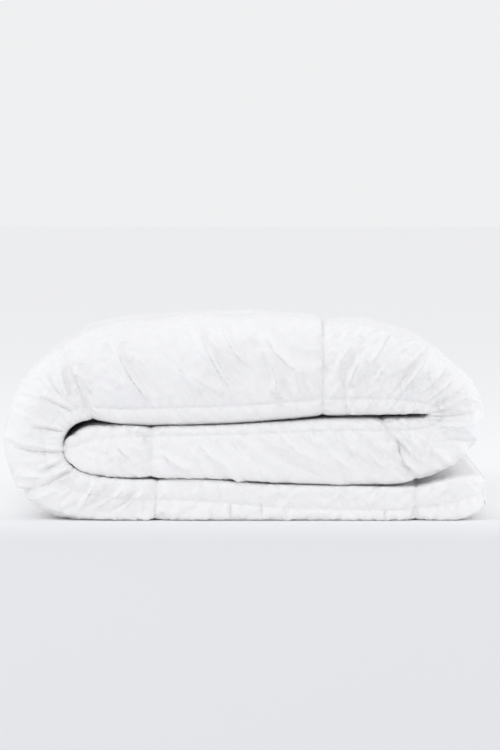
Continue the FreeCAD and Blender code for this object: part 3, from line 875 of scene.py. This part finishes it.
def piping(name, border, seed):
    length = float(np.linalg.norm(np.diff(border, axis=0), axis=1).sum())
    path = rounded(resample(border, int(length / PIPING_POINT_STEP)))
    return tube(name, path, PIPING_RADIUS, seed=seed)


proud = np.array([0.0, 1.0 * MM, 0.0])
pipings = {
    "upper_edge_piping": piping("upper_edge_cord", cloth_points[:, 0] + proud, 1),
    "lower_edge_piping": piping("lower_edge_cord", cloth_points[:, -1] + proud, 2),
    "foot_end_piping": piping("foot_end_cord", cloth_points[0], 3),
    "head_end_piping": piping("head_end_cord", cloth_points[-1], 4),
}
print("pipings:", {name: len(piece.data.polygons) for name, piece in pipings.items()})

# %% [markdown]
# ## Stitches
# Every seam is a row of lockstitch. A stitch is a short thread that arches over the cloth and dips
# into it at both ends. There are thousands, so one small five-sided stitch is worked out
# once and copied along each row by numbers, and each family of seams becomes one piece.

# %% Rows of stitches
STITCH_PITCH, STITCH_LENGTH, THREAD_RADIUS = 3.4 * MM, 2.6 * MM, 0.34 * MM
SIDES = 5
ring_at = np.array([-0.5, -0.3, 0.3, 0.5]) * STITCH_LENGTH
ring_size = np.array([0.5, 1.0, 1.0, 0.5]) * THREAD_RADIUS
ring_rise = np.array([-0.9, 0.5, 0.5, -0.9]) * THREAD_RADIUS
stitch_turn = 2 * math.pi * np.arange(SIDES) / SIDES


def stitch_places(path, normals):
    """Where stitches sit along a path: middle, direction, and the cloth's normal."""
    run = run_along(path)
    at = np.arange(STITCH_PITCH / 2, run[-1], STITCH_PITCH)
    middle = interpolated(at, run, path)
    ahead = interpolated(at, run, np.gradient(path, axis=0))
    ahead /= np.linalg.norm(ahead, axis=1, keepdims=True)
    up = interpolated(at, run, normals)
    up -= ahead * (up * ahead).sum(axis=1, keepdims=True)
    up /= np.maximum(np.linalg.norm(up, axis=1, keepdims=True), 1e-9)
    return middle, ahead, up


def stitches(name, rows_of_places):
    """One piece with a stitch at every place in the rows."""
    middle, ahead, up = (np.concatenate(part) for part in zip(*rows_of_places))
    side = np.cross(up, ahead)
    rise = ring_rise[:, None] + ring_size[:, None] * np.sin(stitch_turn)[None, :]
    out = ring_size[:, None] * np.cos(stitch_turn)[None, :]
    forward = ring_at[:, None] * np.ones((1, SIDES))
    vertices = (middle[:, None, None, :] + ahead[:, None, None, :] * forward[None, ..., None]
                + up[:, None, None, :] * rise[None, ..., None]
                + side[:, None, None, :] * out[None, ..., None])
    count = len(middle)
    rings = len(ring_at)
    first = np.arange(count)[:, None] * rings * SIDES
    quads = []
    for ring in range(rings - 1):
        for k in range(SIDES):
            near, far = ring * SIDES, (ring + 1) * SIDES
            following = (k + 1) % SIDES
            quads.append([near + k, near + following, far + following, far + k])
    caps = [list(range(SIDES))[::-1], [(rings - 1) * SIDES + k for k in range(SIDES)]]
    faces = (first[:, :, None] + np.array(quads)[None]).reshape(-1, 4).tolist()
    for cap in caps:
        faces += (first + np.array(cap)[None]).tolist()
    mesh = bpy.data.meshes.new(name)
    mesh.from_pydata(vertices.reshape(-1, 3).tolist(), [], faces)
    mesh.polygons.foreach_set("use_smooth", [True] * len(mesh.polygons))
    mesh.update()
    piece = bpy.data.objects.new(name, mesh)
    bpy.context.scene.collection.objects.link(piece)
    print(name, "has", count, "stitches")
    return piece


# %% Sew the seams
seam_columns = [int(np.argmin(np.abs(along - seam))) for seam in seam_at]
cross_rows = [stitch_places(cloth_points[column], cloth_normals[column]) for column in seam_columns]
cross_stitches = stitches("cross_seam_stitches", cross_rows)


def line_at_depth(y, rows):
    """The cloth's points and normals where it crosses a depth, on one face, for each column."""
    crossing = [np.zeros((columns, 3)), np.zeros((columns, 3))]
    for column in range(columns):
        depths = depth_y[column, rows]
        order = np.argsort(depths)
        for found, grid in zip(crossing, (cloth_points, cloth_normals)):
            found[column] = interpolated([y], depths[order], grid[column, rows][order])[0]
    return crossing


long_rows = [stitch_places(cloth_points[:, CENTRE], cloth_normals[:, CENTRE])]
for y in LONG_SEAMS:
    long_rows.append(stitch_places(*line_at_depth(y, slice(0, more_outer))))
    long_rows.append(stitch_places(*line_at_depth(y, slice(-more_inner, None))))
long_stitches = stitches("long_seam_stitches", long_rows)
EDGE_ROW = 1  # the row of cloth beside the piping that carries the edge stitching
edge_rows = []
for place_in in (EDGE_ROW, -1 - EDGE_ROW):
    edge_rows.append(stitch_places(cloth_points[:, place_in], cloth_normals[:, place_in]))
    edge_rows.append(stitch_places(cloth_points[place_in], cloth_normals[place_in]))
edge_stitches = stitches("edge_seam_stitches", edge_rows)

# %% [markdown]
# ## Care label
# A blank woven label hangs from the edge seam at the back. It is a small sheet held along its top
# edge: it leaves the seam, follows the curve of the layer behind it and lifts a little at its
# free corners. It is left without any writing.

# %% The label
LABEL_CELLS_ACROSS, LABEL_CELLS_DOWN = 14, 20
LABEL_CLOTH = 0.5 * MM
label_low, label_high = (np.array(corner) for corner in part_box("care_label"))
across_label = np.linspace(0.0, 1.0, LABEL_CELLS_ACROSS + 1)[:, None]
down_label = np.linspace(0.0, 1.0, LABEL_CELLS_DOWN + 1)[None, :]
label_grid = np.zeros((LABEL_CELLS_ACROSS + 1, LABEL_CELLS_DOWN + 1, 3))
label_size = label_high - label_low
label_x = (label_low[0] + label_high[0]) / 2
in_top = np.flatnonzero(top_layer[:, 0] > 0.5)
seam_column = in_top[np.argmin(np.abs(cloth_points[in_top, 0, 0] - label_x))]
sewn_at = cloth_points[seam_column, 0]
label_grid[..., 0] = label_low[0] + label_size[0] * across_label
label_grid[..., 2] = sewn_at[2] - label_size[2] * down_label
LABEL_STAND_OFF = PIPING_RADIUS + 1.6 * MM
BOW, CURL = 3.0 * MM, 2.0 * MM  # how far its middle stands out, and how far its free end waves
bow = BOW * np.sin(math.pi * down_label)
bow = bow + CURL * down_label**2 * np.cos(2 * math.pi * across_label)
label_grid[..., 1] = sewn_at[1] + LABEL_STAND_OFF + bow
label = grid_mesh("blank_label", label_grid, across_label * label_size[0], down_label * label_size[2])
thicken = label.modifiers.new("cloth thickness", "SOLIDIFY")
thicken.thickness = LABEL_CLOTH
select_only(label)
bpy.ops.object.modifier_apply(modifier=thicken.name)
turn_outwards()
print("label:", (label_size / MM).round(1), "mm")

# %% [markdown]
# ## Camera and floor
# A long lens from far away keeps the layers nearly parallel, so the spiral reads at a glance. The
# pile lies on one large plain plane: a curved backdrop would get in the way of the back views.

# %% Camera
CAMERA_DISTANCE, CAMERA_HEIGHT, CAMERA_SIDE = 4.6, 0.46, 0.0054
LENS, SENSOR = 163.4, 36.0
TILT = math.radians(3.254)
bpy.ops.object.camera_add(location=(CAMERA_SIDE, FRONT - CAMERA_DISTANCE, CAMERA_HEIGHT),
                          rotation=(math.pi / 2 - TILT, 0.0, 0.0))
camera = bpy.context.object
camera.name = "camera"
camera.data.sensor_fit = "VERTICAL"
camera.data.sensor_height = SENSOR
camera.data.lens = LENS
bpy.context.scene.camera = camera

# %% The floor
FLOOR_HALF = 30.0  # far enough that its edge is never seen
bpy.ops.object.select_all(action="DESELECT")
bpy.ops.mesh.primitive_plane_add(size=2 * FLOOR_HALF)
floor = bpy.context.object
floor.name = "floor"

# %% [markdown]
# ## Cotton, cord, thread and label
# Fine cotton looks plain from afar, yet close up it has a weave, uneven threads, a faint drift
# in its white and a fine crackle of creases that washing leaves. Each of these is a small node
# group in front of one shader. The weave follows the cloth's own UV map in metres, so it turns
# with every fold, and the drift and the creases use Object coordinates.

# %% A helper for materials
def new_material(name, roughness, sheen):
    """A material with a plain shader, and its node tree."""
    material = bpy.data.materials.new(name)
    material.use_nodes = True
    shader = material.node_tree.nodes["Principled BSDF"]
    shader.inputs["Roughness"].default_value = roughness
    shader.inputs["Sheen Weight"].default_value = sheen
    shader.inputs["Sheen Roughness"].default_value = 0.5
    shader.inputs["Specular IOR Level"].default_value = 0.25
    return material, material.node_tree, shader


def node(tree, kind, inputs=(), **settings):
    """A new node with settings, and with input values or links from other nodes' outputs."""
    made = tree.nodes.new(kind)
    for key, value in settings.items():
        setattr(made, key, value)
    for key, value in dict(inputs).items():
        if isinstance(value, bpy.types.NodeSocket):
            tree.links.new(value, made.inputs[key])
        else:
            made.inputs[key].default_value = value
    return made


def drifting_colour(tree, dark, light, scale):
    """A colour that drifts slowly between two near whites."""
    place_on = node(tree, "ShaderNodeTexCoord").outputs["Object"]
    drift = node(tree, "ShaderNodeTexNoise", {"Vector": place_on, "Scale": scale, "Detail": 3.0})
    ramp = node(tree, "ShaderNodeValToRGB", {"Fac": drift.outputs["Fac"]})
    for element, position, colour in zip(ramp.color_ramp.elements, (0.35, 0.65), (dark, light)):
        element.position = position
        element.color = (*colour, 1.0)
    return ramp.outputs["Color"]


WAVE_PERIOD = 0.314  # length of one band of the Wave texture at scale 1
SLUB_SCALE = (30.0, 900.0, 1.0)  # thick places in a thread are long and narrow


def woven_height(tree, pitch, turned):
    """The height of a plain weave: threads over and under at right angles, some thicker."""
    cloth_uv = node(tree, "ShaderNodeUVMap", uv_map="cloth").outputs["UV"]
    laid = node(tree, "ShaderNodeMapping", {"Vector": cloth_uv, "Rotation": (0.0, 0.0, turned)})
    laid_on = laid.outputs["Vector"]
    bands = []
    for direction in ("X", "Y"):
        wave_inputs = {"Vector": laid_on, "Scale": WAVE_PERIOD / pitch, "Distortion": 0.6, "Detail": 1.0}
        wave = node(tree, "ShaderNodeTexWave", wave_inputs, bands_direction=direction)
        bands.append(wave.outputs["Fac"])
    woven = node(tree, "ShaderNodeMath", {0: bands[0], 1: bands[1]}, operation="MAXIMUM")
    stretched = node(tree, "ShaderNodeMapping", {"Vector": laid_on, "Scale": SLUB_SCALE})
    slub_inputs = {"Vector": stretched.outputs["Vector"], "Scale": 1.0, "Detail": 2.0}
    slubs = node(tree, "ShaderNodeTexNoise", slub_inputs)
    heights = {0: woven.outputs["Value"], 1: slubs.outputs["Fac"]}
    return node(tree, "ShaderNodeMath", heights, operation="ADD").outputs["Value"]


def bumped(tree, height, distance, strength, **below):
    """A bump from a height; Normal= puts it on top of another bump."""
    inputs = {"Height": height, "Distance": distance, "Strength": strength, **below}
    return node(tree, "ShaderNodeBump", inputs).outputs["Normal"]


# %% The cotton of the panels
COTTON_DARK, COTTON_LIGHT = (0.912, 0.905, 0.902), (0.924, 0.918, 0.916)
THREAD_PITCH = 0.45 * MM


def cotton(name, turned=0.0):
    material, tree, shader = new_material(name, 0.82, 0.12)
    tree.links.new(drifting_colour(tree, COTTON_DARK, COTTON_LIGHT, 14.0), shader.inputs["Base Color"])
    place_on = node(tree, "ShaderNodeTexCoord").outputs["Object"]
    crackle = node(tree, "ShaderNodeTexNoise", {"Vector": place_on, "Scale": 34.0, "Detail": 3.0,
                                                "Roughness": 0.55, "Distortion": 0.4},
                   noise_type="RIDGED_MULTIFRACTAL")
    soft = bumped(tree, crackle.outputs["Fac"], 0.3 * MM, 0.06)
    weave = woven_height(tree, THREAD_PITCH, turned)
    tree.links.new(bumped(tree, weave, 0.05 * MM, 0.5, Normal=soft), shader.inputs["Normal"])
    return material


panel_cotton = cotton("cotton_percale")
shell.data.materials.append(panel_cotton)
lining.data.materials.append(panel_cotton)
BIAS = math.radians(45.0)  # the strip round the cord is cut on the bias
bias_cotton = cotton("bias_cut_cotton", BIAS)
for piece in pipings.values():
    piece.data.materials.append(bias_cotton)
print("cotton nodes:", len(panel_cotton.node_tree.nodes))

# %% [markdown]
# ## Thread and label satin
# Sewing thread is twisted from thinner strands and has a soft shine, so diagonal bands run over
# it. The label is satin: smoother than the cotton, and a trace warmer.

# %% The sewing thread
def twisted_thread():
    material, tree, shader = new_material("sewing_thread", 0.55, 0.2)
    tree.links.new(drifting_colour(tree, (0.86, 0.86, 0.87), (0.93, 0.93, 0.94), 220.0),
                   shader.inputs["Base Color"])
    place_on = node(tree, "ShaderNodeTexCoord").outputs["Object"]
    twist = node(tree, "ShaderNodeTexWave", {"Vector": place_on, "Scale": 700.0, "Distortion": 1.0},
                 bands_direction="DIAGONAL")
    tree.links.new(bumped(tree, twist.outputs["Fac"], 0.06 * MM, 0.6), shader.inputs["Normal"])
    return material


thread = twisted_thread()
for piece in (cross_stitches, long_stitches, edge_stitches):
    piece.data.materials.append(thread)

# %% The label's satin
SATIN_PITCH = 0.3 * MM


def satin():
    material, tree, shader = new_material("label_satin", 0.45, 0.1)
    tree.links.new(drifting_colour(tree, (0.88, 0.88, 0.87), (0.93, 0.93, 0.92), 60.0),
                   shader.inputs["Base Color"])
    weave = woven_height(tree, SATIN_PITCH, 0.0)
    tree.links.new(bumped(tree, weave, 0.05 * MM, 0.6), shader.inputs["Normal"])
    return material


label.data.materials.append(satin())

# %% [markdown]
# ## Floor with painted shade
# White on white needs a floor that is a shade darker before the pile than behind it. That darkness is
# painted shade in the floor's colour, and the lighter colour behind is painted light: the pile then
# stands on something, and still melts into a bright room. One slow change does both.

# %% Painted shade and painted light on the floor
# The floor's colour is painted shade before the pile and painted light behind it.
DARKER_BEFORE, LIGHTER_BEHIND = -0.62, -0.10  # depths between which the paint changes


def floor_paint():
    """A pale matt floor with painted shade before the pile and painted light behind, lighter away from
    the camera, so the horizon melts away.
    """
    material, tree, shader = new_material("floor_paint", 0.9, 0.0)
    place_on = node(tree, "ShaderNodeTexCoord").outputs["Object"]
    depth = node(tree, "ShaderNodeSeparateXYZ", {"Vector": place_on}).outputs["Y"]
    where = {"Value": depth, "From Min": DARKER_BEFORE, "From Max": LIGHTER_BEHIND}
    share_back = node(tree, "ShaderNodeMapRange", where, interpolation_type="SMOOTHSTEP")
    ramp = node(tree, "ShaderNodeValToRGB", {"Fac": share_back.outputs["Result"]})
    # The darker colour is painted shade before the pile, the lighter one painted light behind it.
    ramp.color_ramp.elements[0].color = (0.78, 0.78, 0.80, 1.0)
    ramp.color_ramp.elements[1].color = (0.97, 0.97, 0.972, 1.0)
    tree.links.new(ramp.outputs["Color"], shader.inputs["Base Color"])
    return material


floor.data.materials.append(floor_paint())

# %% [markdown]
# ## Light
# One large soft window from the upper left gives each crease a bright side and a soft shadow. The
# rest is fill: a low one in front lifts the lower layers, and one at each side rounds the folds.
# A bright, even world does most of the work, as white walls do in a small room.

# %% Light
DAYLIGHT = (0.91, 0.94, 1.0)


def area_light(name, place, aim, size, power):
    bpy.ops.object.light_add(type="AREA", location=place)
    light = bpy.context.object
    light.name = name
    light.data.shape = "RECTANGLE"
    light.data.size, light.data.size_y = size
    light.data.energy = power
    light.data.color = DAYLIGHT
    light.rotation_euler = (Vector(aim) - Vector(place)).to_track_quat("-Z", "Y").to_euler()


area_light("window_left", (-2.4, -1.2, 2.6), (0.0, 0.0, 0.12), (2.0, 2.0), 18.0)
area_light("front_fill", (0.3, -5.5, 0.6), (0.0, 0.0, 0.08), (3.0, 1.0), 28.0)
area_light("left_fill", (-3.0, -0.6, 0.8), (0.0, 0.0, 0.05), (1.4, 1.0), 2.0)
area_light("right_fill", (3.0, -0.2, 0.8), (0.0, 0.0, 0.05), (1.4, 1.0), 15.0)
world = bpy.data.worlds.new("studio")
world.use_nodes = True
world.node_tree.nodes["Background"].inputs["Color"].default_value = (0.985, 0.99, 1.0, 1.0)
world.node_tree.nodes["Background"].inputs["Strength"].default_value = 0.88
bpy.context.scene.world = world
bpy.context.scene.view_settings.view_transform = "Standard"

# %% [markdown]
# ## The pieces on the body
# Each piece rides on the one body of this object, and the nodes of the design that it stands for
# are hidden. The table also names the finish that each piece takes. The filling and the baffles
# lie inside the panels, so the outer panel stands for them too.

inside = [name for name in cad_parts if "fill" in name or "baffle" in name]
HANDED_OVER = [
    (shell, "cotton_shell", ["outer_panel", *inside]),
    (lining, "cotton_shell", ["inner_panel"]),
    (cross_stitches, "thread", ["cross_seam_thread"]),
    (long_stitches, "thread", ["long_seam_thread"]),
    (edge_stitches, "thread", ["edge_seam_thread"]),
    (label, "label_cloth", ["care_label"]),
    *((piece, "edge_piping", [name]) for name, piece in pipings.items()),
]
for piece, finish, nodes in HANDED_OVER:
    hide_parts(*nodes)
    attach(piece, "root")
print("pieces handed over:", len(HANDED_OVER))
